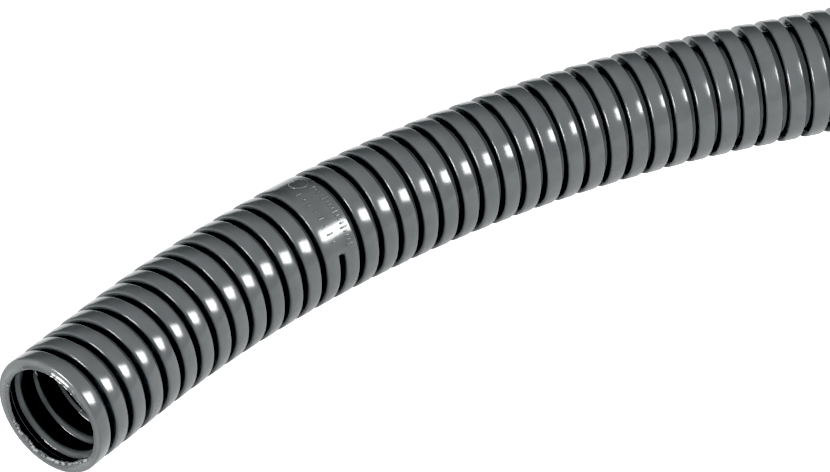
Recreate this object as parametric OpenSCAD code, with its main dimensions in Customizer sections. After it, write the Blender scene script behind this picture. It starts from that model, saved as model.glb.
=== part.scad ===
// Corrugated conduit of the M20 size: one length of annular corrugated tube, bent near its cut end.
// It lies on the floor (z = 0) with its long straight run along +X. Units are millimetres.

/* [Tube] */
// outside diameter, over the crowns
outer_d = 21.2; // [12:0.1:60]
// clear bore, inside the valleys
bore_d = 16.8; // [9:0.1:54]
// thickness of the wall
wall_t = 0.45; // [0.3:0.05:1.2]

/* [Waves] */
// distance from one crown to the next
pitch = 4.35; // [2:0.05:10]
// width of a crown from flank to flank
crown_w = 2.95; // [1.2:0.05:7]
// radius of the rounded shoulders of a crown
shoulder_r = 0.45; // [0.2:0.05:1.4]

/* [Run] */
// waves in the straight start, at the cut end
start_waves = 5; // [2:1:20]
// waves in the bend
bend_waves = 29; // [4:1:60]
// waves in the long straight run
run_waves = 196; // [10:1:300]
// radius of the bend, on the centreline
bend_r = 217.5; // [80:0.5:600]

/* [Marking pad] */
// waves from the cut end to the pad, which bridges the next groove
pad_after = 14; // [7:1:30]
// how far round the tube the pad reaches
pad_deg = 152; // [20:1:300]
// where the middle of the pad faces, turned from straight up towards the inside of the bend
pad_turn = 0; // [-180:1:180]
// how far the pad lies below the crowns
pad_drop = 0.1; // [0.05:0.05:0.5]

/* [Hidden] */
tube_color = "#68696c";

outer_r = outer_d / 2;
bore_r = bore_d / 2;
valley_r = bore_r + wall_t;            // outside of a valley
crown_in_r = outer_r - wall_t;         // inside of a crown
gap_w = pitch - crown_w;               // width of a groove, flank to flank
half_w = crown_w / 2;
half_in = half_w - wall_t;             // half the width of a crown on the inside
in_r = max(0.2, shoulder_r - wall_t);  // rounded shoulders on the inside of a crown
arc_n = 2;                             // straight steps in a rounded shoulder

start_n = round(start_waves);          // whole waves
bend_n = round(bend_waves);
run_n = round(run_waves);
step_deg = pitch / bend_r * 180 / PI;  // turn of the bend from one wave to the next
bend_deg = (bend_n + 1) * step_deg;
join_n = 5;                            // waves of the bend that are joined at a time
pad_step = start_n + bend_n - round(pad_after) + 0.5; // place of the pad, in steps of the bend

// The box of the whole tube on the floor, whose middle is the origin.
start_len = (start_n - 1) * pitch + half_w;
run_len = (run_n - 1) * pitch + half_w;
round_x = -start_len + shoulder_r;     // centre of the end's rounded shoulder
round_y = outer_r - shoulder_r;
low_x = round_x * cos(bend_deg) - (bend_r + round_y) * sin(bend_deg) - shoulder_r;
low_y = round_x * sin(bend_deg) + (bend_r - round_y) * cos(bend_deg) - bend_r - shoulder_r;
mid_x = (low_x + run_len) / 2;
mid_y = (low_y + outer_r) / 2;

// Points of a rounded corner about [x, y], from angle a to angle b.
function corner(x, y, r, a, b) =
  [for (i = [0 : arc_n]) let (t = a + (b - a) * i / arc_n) [x + r * cos(t), y + r * sin(t)]];

// Outside of the wave at position y, as [radius, position], between feet at radius foot.
function outside(y, foot) = concat(
  [[foot, y - half_w]],
  corner(outer_r - shoulder_r, y - half_w + shoulder_r, shoulder_r, -90, 0),
  corner(outer_r - shoulder_r, y + half_w - shoulder_r, shoulder_r, 0, 90),
  [[foot, y + half_w]]);

// Inside of the same wave, from its far flank back to its near one.
function inside(y) = concat(
  [[bore_r, y + half_in]],
  corner(crown_in_r - in_r, y + half_in - in_r, in_r, 90, 0),
  corner(crown_in_r - in_r, y - half_in + in_r, in_r, 0, -90),
  [[bore_r, y - half_in]]);

// Waves in a row along +X, the first at x = 0. The wall ends at the foot of the outermost flanks.
module row(n) {
  last = n - 1;
  rotate([90, 0, 90]) rotate_extrude($fn = 72) polygon(concat(
    [[bore_r, -half_w]],
    [for (k = [0 : last]) each outside(k * pitch, valley_r)],
    [[bore_r, last * pitch + half_w]],
    [for (k = [last : -1 : 0]) each inside(k * pitch)]));
}

// One wave of the bend.
module wave() {
  rotate([90, 0, 90]) rotate_extrude($fn = 72) polygon(concat(outside(0, bore_r), inside(0)));
}

// One valley of the bend, lapping half of the flank's wall on each side.
module valley() {
  lap_w = gap_w + wall_t;
  rotate([90, 0, 90]) rotate_extrude($fn = 72)
    translate([bore_r + 0.05, -lap_w / 2]) square([wall_t, lap_w]);
}

// Places its children k waves into the bend, counted from the long run towards the cut end.
module at_bend(k) {
  translate([0, -bend_r, 0]) rotate([0, 0, k * step_deg]) translate([0, bend_r, 0]) children();
}

// A ring sector about the tube's axis, its middle facing pad_turn.
module sector(r1, r2, w, deg) {
  rotate([90 + pad_turn - deg / 2, 0, 0]) rotate([90, 0, 90])
    rotate_extrude(angle = deg, $fn = 72) translate([r1, -w / 2]) square([r2 - r1, w]);
}

// Waves first to last of the bend, each with the valley on its near side. They are joined upright, then put in place.
module links(first, last) {
  mid = (first + last) / 2;
  at_bend(mid) for (k = [first : last]) {
    at_bend(k - mid) wave();
    at_bend(k - mid - 0.5) valley();
  }
}

// The two waves beside the pad. The wall bridges their groove just under the crowns, and the pad is hollow behind it.
module pad() {
  web_w = gap_w + crown_w - wall_t; // across the groove, into both crowns
  at_bend(pad_step) difference() {
    union() {
      for (k = [-0.5, 0.5]) at_bend(k) wave();
      valley();
      at_bend(-1) valley();
      sector(valley_r - wall_t / 3, outer_r - pad_drop, web_w, pad_deg);
    }
    sector(bore_r - 1, crown_in_r - pad_drop, web_w - wall_t, pad_deg - 5);
  }
}

// The bend, from the long run to the last wave before the straight start.
module bend() {
  before = pad_step - 1.5;
  after = pad_step + 1.5;
  for (k = [1 : join_n : before]) links(k, min(k + join_n - 1, before));
  pad();
  for (k = [after : join_n : bend_n]) links(k, min(k + join_n - 1, bend_n));
}

// The straight start, with the valley that joins it to the bend.
module start() {
  at_bend(bend_n + 1) {
    translate([-(start_n - 1) * pitch, 0, 0]) row(start_n);
    at_bend(-0.5) valley();
  }
}

module conduit() {
  color(tube_color) translate([-mid_x, -mid_y, outer_r]) {
    row(run_n);
    bend();
    start();
  }
}

conduit();
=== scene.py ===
"""Corrugated conduit: a length of ring-ribbed plastic tube on a white studio floor.

The script follows the tube as it is made: the moulded waves of the wall, the marking pad and its
raised ticks, the rough cut end with its burrs, the long run, and last the floor, the lights and
the camera. Lengths are metres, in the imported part's frame.
"""

import math

import bmesh
import bpy
from mathutils import Matrix, Vector, noise


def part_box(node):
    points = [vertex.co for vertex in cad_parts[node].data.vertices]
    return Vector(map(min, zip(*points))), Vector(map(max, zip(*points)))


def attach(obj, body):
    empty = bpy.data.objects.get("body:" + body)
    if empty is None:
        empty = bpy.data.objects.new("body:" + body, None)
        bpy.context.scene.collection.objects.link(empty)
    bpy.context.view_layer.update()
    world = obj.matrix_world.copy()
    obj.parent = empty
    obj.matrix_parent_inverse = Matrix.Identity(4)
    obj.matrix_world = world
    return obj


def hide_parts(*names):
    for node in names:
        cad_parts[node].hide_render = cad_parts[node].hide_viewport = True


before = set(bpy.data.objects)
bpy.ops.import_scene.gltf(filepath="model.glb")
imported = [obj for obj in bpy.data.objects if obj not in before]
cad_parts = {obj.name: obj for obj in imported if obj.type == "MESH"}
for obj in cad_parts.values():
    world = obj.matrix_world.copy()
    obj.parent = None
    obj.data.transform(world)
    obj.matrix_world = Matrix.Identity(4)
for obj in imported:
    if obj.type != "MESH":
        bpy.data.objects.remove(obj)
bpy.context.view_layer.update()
MM = 0.001

# ------------------------------------------------------------------------------------------
# The waves of the wall. Dark grey nylon, blow-moulded between running mould blocks, so every
# wave is the same ring: a wide, flat crown with tight shoulders, and a narrow, steep groove.
# ------------------------------------------------------------------------------------------

tube_low, tube_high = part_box("conduit")
TUBE_R = (tube_high.z - tube_low.z) / 2
BORE_R = 8.4 * MM
WALL = 0.45 * MM
PITCH = 4.35 * MM
CROWN_HALF = 2.95 / 2 * MM
DOME = 0.006 * MM  # how far the middle of a crown stands above its shoulders

# radii of the rounded shoulders, outside and inside the wall, and of the foot of a flank
SHOULDER = 0.42 * MM
SHOULDER_IN = 0.2 * MM
FOOT = 0.25 * MM

START_WAVES = 5
BEND_WAVES = 29
RUN_WAVES = 196
ALL_WAVES = START_WAVES + BEND_WAVES + RUN_WAVES
BEND_R = 217.5 * MM
STEP = PITCH / BEND_R  # turn of the bend from one wave to the next, in radians

# the long run's axis, and the point on it where the bend begins
run_y = tube_high.y - TUBE_R
run_x = tube_high.x - CROWN_HALF - (RUN_WAVES - 1) * PITCH


def lay(x, y, z):
    """Where a point of the straight tube goes once the tube is bent. x counts from the first crown.

    The crowns stay stiff, and each groove takes its share of the turn.
    """
    wave = round(x / PITCH)
    off = x - wave * PITCH
    turned = float(wave)
    if abs(off) > CROWN_HALF:
        turned += math.copysign((abs(off) - CROWN_HALF) / (PITCH - 2 * CROWN_HALF), off)
    last = START_WAVES + BEND_WAVES
    turned = min(max(turned, START_WAVES - 1), last)
    angle = (last - turned) * STEP
    along, out = x - turned * PITCH, y + BEND_R
    return Vector((
        run_x + along * math.cos(angle) - out * math.sin(angle),
        run_y - BEND_R + along * math.sin(angle) + out * math.cos(angle),
        z + TUBE_R,
    ))


def lay_all(bm):
    for v in bm.verts:
        v.co = lay(*v.co)


def chain(bm, points, rounds):
    """Edges through points [(x, radius)] in the plane y = 0. rounds lists (radius, steps, which points)."""
    verts = [bm.verts.new((x, 0, r)) for x, r in points]
    for a, b in zip(verts, verts[1:]):
        bm.edges.new((a, b))
    for size, steps, picked in rounds:
        bmesh.ops.bevel(
            bm, geom=[verts[i] for i in picked], offset=size, offset_type="OFFSET",
            segments=steps, profile=0.5, affect="VERTICES", material=-1, clamp_overlap=True,
        )


def skin(first, count, sides, outside, steps):
    """One side of the wall round some waves of the straight tube. It starts and ends halfway along a
    groove, but at the tube's own ends it stops at the foot of the last flank. steps counts the straight
    steps in a rounded shoulder and in a rounded foot.
    """
    foot_r, top_r, half = BORE_R, TUBE_R - DOME - WALL, CROWN_HALF - WALL
    if outside:
        foot_r, top_r, half = BORE_R + WALL, TUBE_R - DOME, CROWN_HALF
    points, shoulders, feet = [], [], []
    if first > 0:
        points.append(((first - 0.5) * PITCH, foot_r))
    for k in range(first, first + count):
        x = k * PITCH
        start = len(points)
        points += [(x - half, foot_r), (x - half, top_r)]
        if outside:
            points.append((x, TUBE_R))
        points += [(x + half, top_r), (x + half, foot_r)]
        feet += [start, len(points) - 1]
        shoulders += [start + 1, len(points) - 2]
    if first + count < ALL_WAVES:
        points.append(((first + count - 0.5) * PITCH, foot_r))
    shoulder_steps, foot_steps = steps
    rounds = [(SHOULDER if outside else SHOULDER_IN, shoulder_steps, shoulders)]
    if foot_steps:
        rounds.append((FOOT, foot_steps, [i for i in feet if 0 < i < len(points) - 1]))
    bm = bmesh.new()
    chain(bm, points, rounds)
    bmesh.ops.spin(
        bm, geom=bm.verts[:] + bm.edges[:], cent=(0, 0, 0), axis=(1, 0, 0), dvec=(0, 0, 0),
        angle=2 * math.pi, steps=sides, use_merge=True, use_duplicate=False,
    )
    return bm


def angle_of(co):
    """How far round the tube a point is, in degrees: 90 faces up, and 180 faces the inside of the bend."""
    return math.degrees(math.atan2(co.z, co.y)) % 360


def ease(value, low, high):
    """0 below low, 1 above high, and smooth between."""
    t = min(max((value - low) / (high - low), 0), 1)
    return t * t * (3 - 2 * t)


def wall(first, count, sides, outside_steps, inside_steps, shape_outside=None, shape_inside=None):
    """A straight stretch of the tube: both skins of the wall, closed where they end."""
    outer = skin(first, count, sides, True, outside_steps)
    inner = skin(first, count, sides, False, inside_steps)
    for bm, shape in ((outer, shape_outside), (inner, shape_inside)):
        if shape:
            shape(bm)
    middle = (first + (count - 1) / 2) * PITCH
    outer_rims = [v for v in outer.verts if v.is_boundary]
    shell = bpy.data.meshes.new("inner skin")
    inner.to_mesh(shell)
    inner.free()
    outer.from_mesh(shell)
    bpy.data.meshes.remove(shell)
    # two rims in one plane could be bridged with a twist, so the outer ones are drawn away meanwhile
    away = {v: Vector((math.copysign(PITCH, v.co.x - middle), 0, 0)) for v in outer_rims}
    for v in outer_rims:
        v.co += away[v]
    rims = [e for e in outer.edges if e.is_boundary]
    for side in (-1, 1):
        bmesh.ops.bridge_loops(outer, edges=[e for e in rims if (e.verts[0].co.x - middle) * side > 0])
    for v in outer_rims:
        v.co -= away[v]
    bmesh.ops.recalc_face_normals(outer, faces=outer.faces)
    return outer


def finished(name, bm, *materials):
    """The piece as an object that rides on the part, in the materials it is given."""
    mesh = bpy.data.meshes.new(name)
    for face in bm.faces:
        face.smooth = True
    bm.to_mesh(mesh)
    bm.free()
    piece = bpy.data.objects.new(name, mesh)
    bpy.context.scene.collection.objects.link(piece)
    for material in materials:
        mesh.materials.append(material)
    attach(piece, "root")
    return piece


def plastic(name, dark, light, rough, bump):
    """Grey nylon straight from the mould: satin, with a faint skin texture and uneven gloss."""
    made = bpy.data.materials.new(name)
    made.use_nodes = True
    tree = made.node_tree
    nodes, links = tree.nodes, tree.links
    shader = nodes["Principled BSDF"]
    place = nodes.new("ShaderNodeTexCoord")
    cloud = nodes.new("ShaderNodeTexNoise")
    cloud.inputs["Scale"].default_value = 260
    cloud.inputs["Detail"].default_value = 4
    links.new(place.outputs["Object"], cloud.inputs["Vector"])
    tint = nodes.new("ShaderNodeValToRGB")
    tint.color_ramp.elements[0].position, tint.color_ramp.elements[1].position = 0.3, 0.7
    tint.color_ramp.elements[0].color = (*dark, 1)
    tint.color_ramp.elements[1].color = (*light, 1)
    links.new(cloud.outputs["Fac"], tint.inputs["Fac"])
    links.new(tint.outputs["Color"], shader.inputs["Base Color"])
    gloss = nodes.new("ShaderNodeMapRange")
    gloss.inputs["To Min"].default_value, gloss.inputs["To Max"].default_value = rough
    links.new(cloud.outputs["Fac"], gloss.inputs["Value"])
    links.new(gloss.outputs["Result"], shader.inputs["Roughness"])
    grain = nodes.new("ShaderNodeTexNoise")
    grain.inputs["Scale"].default_value = 1900
    grain.inputs["Detail"].default_value = 3
    links.new(place.outputs["Object"], grain.inputs["Vector"])
    texture = nodes.new("ShaderNodeBump")
    texture.inputs["Strength"].default_value = bump
    texture.inputs["Distance"].default_value = 0.04 * MM
    links.new(grain.outputs["Fac"], texture.inputs["Height"])
    links.new(texture.outputs["Normal"], shader.inputs["Normal"])
    shader.inputs["IOR"].default_value = 1.52
    return made


nylon = plastic("dark grey nylon", (0.050, 0.053, 0.054), (0.062, 0.065, 0.066), (0.14, 0.20), 0.10)

# steps in the rounded corners, as (shoulder, foot), outside and inside the wall
FINE = ((3, 2), (1, 0))
COARSE = ((1, 0), (1, 0))

# ------------------------------------------------------------------------------------------
# The marking pad. The mould draws the wall out into one smooth field across a groove, from
# the crown before it to the crown after, and the groove starts again in a rounded end.
# ------------------------------------------------------------------------------------------

PAD_FIRST, PAD_WAVES = 12, 4       # the waves of the tube that are made with the pad
PAD_GROOVE = 13.5                  # the groove that it bridges, counted in waves
PAD_FROM, PAD_TO = 14, 166         # how far round it reaches, in degrees
PAD_RAMP = 5                       # degrees from the floor of the groove up to the pad
PAD_DROP = 0.02 * MM
PAD_SIDES = 216


def pad_height(degrees):
    return ease(degrees, PAD_FROM, PAD_FROM + PAD_RAMP) * (1 - ease(degrees, PAD_TO - PAD_RAMP, PAD_TO))


def draw_out(bm, top_r, foot_r, reach):
    """Raises the groove's skin, whose floor is at foot_r, up to top_r under the pad. What went down one
    flank and up the other is spread evenly across the pad, which reaches so far from the middle.
    """
    middle = PAD_GROOVE * PITCH
    full = 2 * reach + 2 * (top_r - foot_r)
    for v in bm.verts:
        off = v.co.x - middle
        if abs(off) > reach:
            continue
        radius = math.hypot(v.co.y, v.co.z)
        from_edge = reach - abs(off) + max(top_r - radius, 0)
        even = math.copysign(reach - 2 * reach * from_edge / full, off)
        up = pad_height(angle_of(v.co))
        v.co.x += (middle + even - v.co.x) * up
        grown = 1 + (top_r - radius) * up / radius
        v.co.y, v.co.z = v.co.y * grown, v.co.z * grown


def pad_outside(bm):
    draw_out(bm, TUBE_R - PAD_DROP, BORE_R + WALL, PITCH / 2 - CROWN_HALF + SHOULDER)


def pad_inside(bm):
    draw_out(bm, TUBE_R - PAD_DROP - WALL, BORE_R, PITCH / 2 - CROWN_HALF + WALL + SHOULDER_IN)


padded = wall(PAD_FIRST, PAD_WAVES, PAD_SIDES, *FINE, pad_outside, pad_inside)
lay_all(padded)
padded_tube = finished("tube_pad", padded, nylon)
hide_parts("conduit")

# ------------------------------------------------------------------------------------------
# The marks on the pad: plain raised ticks in two rows and a plain ring, about a tenth of a
# millimetre proud, cut into the mould with a small round-ended tool.
# ------------------------------------------------------------------------------------------

MARK_TALL = 0.13 * MM
TICK_WIDE = 0.3 * MM
ROW_AT = 13.98 * PITCH
SIDE_ROW_AT = 13.28 * PITCH
TICKS, TICK_FROM, TICK_STEP = 17, 92, 4    # count, and degrees
RING_AT, RING_TURN = 13.78 * PITCH, 78
RING_R, RING_WIDE, RING_TALL = 1.55 * MM, 0.42 * MM, 0.12 * MM
RING_STEPS = 28


def wrap(bm, x, degrees):
    """Bends a flat mark on to the pad. Its own x runs along the tube, its y round it and its z outwards."""
    for v in bm.verts:
        turn = math.radians(degrees) + v.co.y / TUBE_R
        radius = TUBE_R - PAD_DROP + v.co.z
        v.co = Vector((x + v.co.x, radius * math.cos(turn), radius * math.sin(turn)))


def add_mark(marks, bm, x, degrees):
    wrap(bm, x, degrees)
    mesh = bpy.data.meshes.new("mark")
    bm.to_mesh(mesh)
    bm.free()
    marks.from_mesh(mesh)
    bpy.data.meshes.remove(mesh)


def tick(length, width, height):
    """A bar with rounded ends and rounded top edges, sunk into the pad by its own height."""
    bm = bmesh.new()
    bmesh.ops.create_cube(bm, size=1)
    bmesh.ops.scale(bm, vec=(length, width, 2 * height), verts=bm.verts)
    upright = [e for e in bm.edges if abs(e.verts[0].co.z - e.verts[1].co.z) > height]
    bmesh.ops.bevel(
        bm, geom=upright, offset=width * 0.45, offset_type="OFFSET", segments=2, profile=0.5,
        affect="EDGES", material=-1, clamp_overlap=True,
    )
    top = [e for e in bm.edges if all(v.co.z > 0 for v in e.verts)]
    bmesh.ops.bevel(
        bm, geom=top, offset=height * 0.5, offset_type="OFFSET", segments=2, profile=0.5,
        affect="EDGES", material=-1, clamp_overlap=True,
    )
    return bm


def ring_mark(radius, width, height):
    """A ring whose section is a low ridge, wide at its foot and half as wide at its top."""
    bm = bmesh.new()
    verts = [
        bm.verts.new((radius + x, 0, z))
        for x, z in ((-width / 2, -height), (-width / 4, height), (width / 4, height), (width / 2, -height))
    ]
    for a, b in zip(verts, verts[1:] + verts[:1]):
        bm.edges.new((a, b))
    bmesh.ops.spin(
        bm, geom=bm.verts[:] + bm.edges[:], cent=(0, 0, 0), axis=(0, 0, 1), dvec=(0, 0, 0),
        angle=2 * math.pi, steps=RING_STEPS, use_merge=True, use_duplicate=False,
    )
    bmesh.ops.recalc_face_normals(bm, faces=bm.faces)
    return bm


marks = bmesh.new()
add_mark(marks, ring_mark(RING_R, RING_WIDE, RING_TALL), RING_AT, RING_TURN)
for n in range(TICKS):
    degrees = TICK_FROM + TICK_STEP * n
    long = n % 4 == 0
    add_mark(marks, tick((1.5 if long else 0.85) * MM, TICK_WIDE, MARK_TALL), ROW_AT, degrees)
    if n % 2 == 0 and n < TICKS - 2:
        add_mark(marks, tick((1.3 if long else 0.7) * MM, TICK_WIDE, MARK_TALL), SIDE_ROW_AT, degrees)
bmesh.ops.recalc_face_normals(marks, faces=marks.faces)
lay_all(marks)
finished("pad_ticks", marks, nylon)

# ------------------------------------------------------------------------------------------
# The cut end. The tube is sawn through beside a crown, so its flank is the end face, with a
# thin ragged lip of the valley's wall left round the hole, paler where the plastic was torn.
# ------------------------------------------------------------------------------------------

END_WAVES = 4
END_SIDES = 360
LIP = 0.35 * MM
LIP_IN = 0.525 * MM
BITE = 0.75 * MM
torn = plastic("torn grey nylon", (0.10, 0.105, 0.105), (0.20, 0.205, 0.20), (0.30, 0.5), 0.5)


def roughness_at(degrees):
    """How ragged the saw left the rim there: worst along the bottom, and fair over the top."""
    return 0.15 + 0.85 * ease(degrees, 196, 216) * (1 - ease(degrees, 322, 350))


def bite(degrees):
    """How far the saw ran into the flank there. It opens the hole a little towards the inside of the bend."""
    return BITE * ease(degrees, 130, 156) * (1 - ease(degrees, 206, 226))


def outwards(degrees):
    """The way out of the straight tube at that place round it."""
    turn = math.radians(degrees)
    return Vector((0, math.cos(turn), math.sin(turn)))


def tear(bm, reach):
    """Draws the foot of the first flank out into the lip, and roughens it."""
    edge = [e for e in bm.edges if e.is_boundary and e.verts[0].co.x < 0]
    drawn = bmesh.ops.extrude_edge_only(bm, edges=edge)["geom"]
    lip = [v for v in drawn if isinstance(v, bmesh.types.BMVert)]
    for v in lip:
        degrees = angle_of(v.co)
        way = outwards(degrees)
        ragged = roughness_at(degrees)
        wander = noise.noise(way * 9) + 0.7 * noise.noise(way * 26)
        v.co.x -= max(reach * (0.4 + ragged * (0.9 * wander + 0.5)), 0.02 * MM)
        v.co += way * (0.12 * MM * ragged * noise.noise(way * 34 + Vector((3, 0, 0))))
    first_ring = {v for e in edge for v in e.verts}
    for v in lip + list(first_ring):
        degrees = angle_of(v.co)
        way = outwards(degrees)
        v.co += way * (bite(degrees) + 0.06 * MM * noise.noise(way * 12))


def tear_outside(bm):
    tear(bm, LIP)


def tear_inside(bm):
    tear(bm, LIP_IN)


end = wall(0, END_WAVES, END_SIDES, *FINE, tear_outside, tear_inside)
for face in end.faces:
    if all(v.co.x < -CROWN_HALF - 0.001 * MM for v in face.verts):
        face.material_index = 1
lay_all(end)
finished("tube_end", end, nylon, torn)

# Crumbs of torn plastic that still hang on the rim, as (degrees round the tube, radius and size in mm).
CRUMBS = (
    (278, 8.55, 0.42),
    (281, 8.75, 0.3),
    (276, 8.9, 0.26),
    (237, 8.5, 0.3),
    (231, 8.6, 0.22),
    (223, 8.95, 0.34),
    (217, 9.1, 0.24),
    (292, 8.6, 0.2),
    (304, 8.5, 0.24),
    (262, 8.6, 0.2),
    (249, 8.6, 0.2),
)
crumbs = bmesh.new()
for degrees, radius, size in CRUMBS:
    made = bmesh.ops.create_icosphere(crumbs, subdivisions=2, radius=size * MM / 2)["verts"]
    spot = Vector((-CROWN_HALF - 0.25 * MM, 0, 0)) + outwards(degrees) * radius * MM
    for v in made:
        v.co *= 1 + 0.7 * noise.noise(v.co * 4000 + Vector((degrees, 0, 0)))
        v.co = spot + Vector((v.co.x * 0.8, v.co.y, v.co.z))

# Thin slivers that point into the hole, as (degrees round the tube, radius, length and width in mm).
SLIVERS = (
    (76, 8.6, 0.95, 0.16),
    (17, 8.75, 0.7, 0.2),
    (145, 9.0, 0.9, 0.14),
    (300, 8.5, 0.8, 0.14),
)
for degrees, radius, length, width in SLIVERS:
    made = bmesh.ops.create_cone(
        crumbs, cap_ends=True, segments=8, radius1=width * MM / 2, radius2=width * MM * 0.1,
        depth=length * MM,
    )["verts"]
    way = outwards(degrees)
    sideways = Vector((0, -way.z, way.y))
    spot = Vector((-CROWN_HALF - 0.2 * MM, 0, 0)) + way * radius * MM
    for v in made:
        along = v.co.z + length * MM / 2
        v.co = spot - way * along * 0.9 + sideways * (v.co.x + along * 0.3) + Vector((v.co.y, 0, 0))
lay_all(crumbs)
finished("rim_burrs", crumbs, torn)

# ------------------------------------------------------------------------------------------
# The rest of the tube: the waves on either side of the pad, and the long straight run to a
# plain square cut at its far end.
# ------------------------------------------------------------------------------------------

AFTER_PAD = PAD_FIRST + PAD_WAVES
RUN_FIRST = 44  # past this wave the tube is far from the eye, and its rings have fewer sides
for name, first, after, sides, steps in (
    ("tube_start", END_WAVES, PAD_FIRST, 108, FINE),
    ("tube_bend", AFTER_PAD, RUN_FIRST, 108, FINE),
    ("tube_run", RUN_FIRST, ALL_WAVES, 40, COARSE),
):
    stretch = wall(first, after - first, sides, *steps)
    lay_all(stretch)
    finished(name, stretch, nylon)

# ------------------------------------------------------------------------------------------
# The studio: a white floor, a broad soft light overhead and in front, a small key light from
# the right, and a low light from the left that picks out the shoulders.
# ------------------------------------------------------------------------------------------

FLOOR_GREY = 0.92
FLOOR_REACH = 6
PURE_WHITE = 1.6  # what the camera sees of the floor and of the room behind it
floor_mesh = bpy.data.meshes.new("floor")
floor_bm = bmesh.new()
bmesh.ops.create_grid(floor_bm, x_segments=1, y_segments=1, size=FLOOR_REACH)
floor_bm.to_mesh(floor_mesh)
floor_bm.free()
floor = bpy.data.objects.new("floor", floor_mesh)
bpy.context.scene.collection.objects.link(floor)
paper = bpy.data.materials.new("white paper")
paper.use_nodes = True
nodes, links = paper.node_tree.nodes, paper.node_tree.links
sheet = nodes["Principled BSDF"]
sheet.inputs["Base Color"].default_value = (FLOOR_GREY, FLOOR_GREY, FLOOR_GREY, 1)
sheet.inputs["Roughness"].default_value = 0.9
# the paper shows pure white, yet what it throws back on the tube is only the light that falls on it
glow = nodes.new("ShaderNodeEmission")
glow.inputs["Strength"].default_value = PURE_WHITE
path = nodes.new("ShaderNodeLightPath")
seen = nodes.new("ShaderNodeMixShader")
links.new(path.outputs["Is Camera Ray"], seen.inputs["Fac"])
links.new(sheet.outputs["BSDF"], seen.inputs[1])
links.new(glow.outputs["Emission"], seen.inputs[2])
links.new(seen.outputs["Shader"], nodes["Material Output"].inputs["Surface"])
floor_mesh.materials.append(paper)

# the room: bright overhead and in front, and dim behind the tube
ROOM_BRIGHT, ROOM_DIM = 1.1, 0.05
world = bpy.data.worlds.new("studio")
bpy.context.scene.world = world
world.use_nodes = True
nodes, links = world.node_tree.nodes, world.node_tree.links
room = nodes["Background"]
room.inputs["Color"].default_value = (0.97, 1, 1.01, 1)
around = nodes.new("ShaderNodeTexCoord")
facing = nodes.new("ShaderNodeVectorMath")
facing.operation = "DOT_PRODUCT"
facing.inputs[1].default_value = Vector((-0.12, -0.75, 0.65)).normalized()
links.new(around.outputs["Generated"], facing.inputs[0])
falloff = nodes.new("ShaderNodeMapRange")
falloff.interpolation_type = "SMOOTHSTEP"
falloff.inputs["From Min"].default_value, falloff.inputs["From Max"].default_value = -0.6, 0.4
falloff.inputs["To Min"].default_value, falloff.inputs["To Max"].default_value = ROOM_DIM, ROOM_BRIGHT
links.new(facing.outputs["Value"], falloff.inputs["Value"])
links.new(falloff.outputs["Result"], room.inputs["Strength"])
backdrop = nodes.new("ShaderNodeBackground")
backdrop.inputs["Strength"].default_value = PURE_WHITE
path = nodes.new("ShaderNodeLightPath")
seen = nodes.new("ShaderNodeMixShader")
links.new(path.outputs["Is Camera Ray"], seen.inputs["Fac"])
links.new(room.outputs["Background"], seen.inputs[1])
links.new(backdrop.outputs["Background"], seen.inputs[2])
links.new(seen.outputs["Shader"], nodes["World Output"].inputs["Surface"])


def softbox(name, towards, length_way, distance, size, brightness, aim):
    """A soft area light at a direction and distance from aim, its length turned to length_way.

    brightness is what its face shows.
    """
    data = bpy.data.lights.new(name, "AREA")
    data.shape, data.size, data.size_y = "RECTANGLE", size[0], size[1]
    data.energy = brightness * math.pi * size[0] * size[1]
    lamp = bpy.data.objects.new(name, data)
    lamp.visible_camera = False
    back = Vector(towards).normalized()
    up = back.cross(Vector(length_way)).normalized()
    turn = Matrix((up.cross(back), up, back)).transposed().to_4x4()
    lamp.matrix_world = Matrix.Translation(Vector(aim) + back * distance) @ turn
    bpy.context.scene.collection.objects.link(lamp)


# the middle of the bend, at which both lights are aimed
MIDDLE = (run_x - 60 * MM, run_y - 10 * MM, TUBE_R)
softbox(
    "key", towards=(0.76, -0.40, 0.513), length_way=(-0.28, -0.26, 0.20), distance=1.2,
    size=(0.54, 0.38), brightness=20, aim=MIDDLE,
)
softbox(
    "left", towards=(-0.915, -0.345, 0.21), length_way=(-0.345, 0.915, 0), distance=1.2,
    size=(0.3, 0.42), brightness=40, aim=MIDDLE,
)

BLACK = 0.035
view = bpy.context.scene.view_settings
view.view_transform = "Standard"
view.exposure = 0.3
view.use_curve_mapping = True
view.curve_mapping.black_level = (BLACK, BLACK, BLACK)
view.curve_mapping.update()

camera_data = bpy.data.cameras.new("camera")
camera_data.sensor_width = 36
camera_data.lens = 232.0
camera_data.clip_start, camera_data.clip_end = 0.05, 20
camera = bpy.data.objects.new("camera", camera_data)
camera.location = (-0.64015, -0.66892, 0.54528)
camera.rotation_euler = [math.radians(a) for a in (52.8155, 0.2717, -18.2964)]
bpy.context.scene.collection.objects.link(camera)
bpy.context.scene.camera = camera
